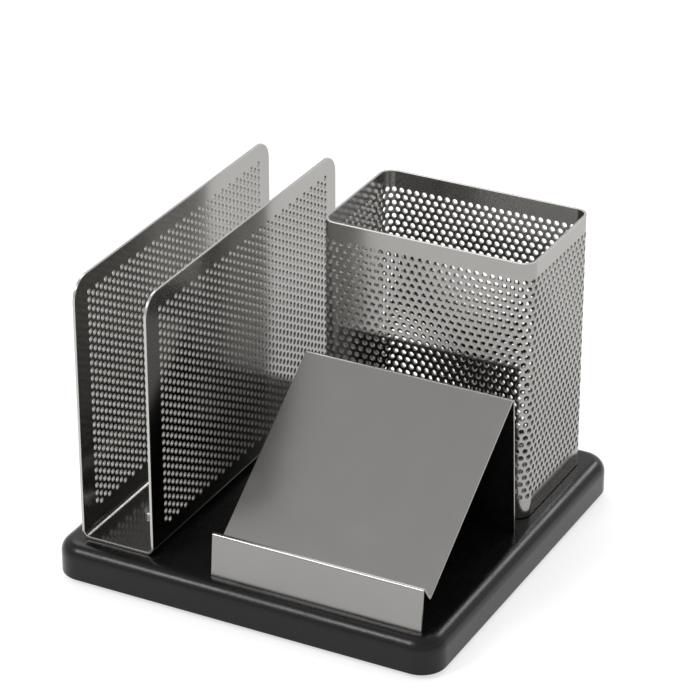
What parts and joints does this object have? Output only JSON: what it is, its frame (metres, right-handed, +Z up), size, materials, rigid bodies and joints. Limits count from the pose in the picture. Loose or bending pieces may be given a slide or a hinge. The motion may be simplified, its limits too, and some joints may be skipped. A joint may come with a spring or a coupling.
{
  "type": "rotating desk organizer",
  "caption": "Square rotating desk organizer: black board on a ball-bearing turntable with a perforated pencil cup, a letter holder and a sloped note holder.",
  "frame": {"origin": "on the desk, under the middle of the board", "axes": "+Z up along the swivel axis, +X right along the front edge, +Y to the back"},
  "size_m": [0.1492, 0.1492, 0.1151],
  "materials": {
    "lacquered_board": "black satin lacquer",
    "pewter_sheet": "satin pewter plating on perforated sheet",
    "brushed_sheet": "fine brushed satin plating",
    "zinc_plate": "zinc plated",
    "zinc_screw": "zinc plated",
    "ball_steel": "polished bearing steel",
    "nylon": "natural nylon",
    "foot_rubber": "matt rubber"
  },
  "bodies": {
    "stand": {"turntable_lower_plate": "zinc_plate", "pivot_rivet": "zinc_screw", "rubber_feet": "foot_rubber"},
    "carousel": {"base_board": "lacquered_board", "pencil_cup_wall": "pewter_sheet", "pencil_cup_floor": "pewter_sheet", "cup_screws": "zinc_screw", "letter_holder": "pewter_sheet", "letter_screws": "zinc_screw", "note_holder": "brushed_sheet", "turntable_upper_plate": "zinc_plate", "turntable_screws": "zinc_screw", "pivot_washer": "nylon"},
    "bearing": {"bearing_balls": "ball_steel", "ball_cage": "nylon"}
  },
  "joints": [
    {"name": "swivel", "type": "hinge", "parent": "stand", "child": "carousel", "pos_m": [0, 0, 0.005], "axis": [0, 0, 1], "continuous": true},
    {"name": "cage_spin", "type": "hinge", "parent": "stand", "child": "bearing", "pos_m": [0, 0, 0.005], "axis": [0, 0, 1], "continuous": true}
  ],
  "couplings": [
    {"joint": "cage_spin", "follows": "swivel", "ratio": 0.5}
  ]
}
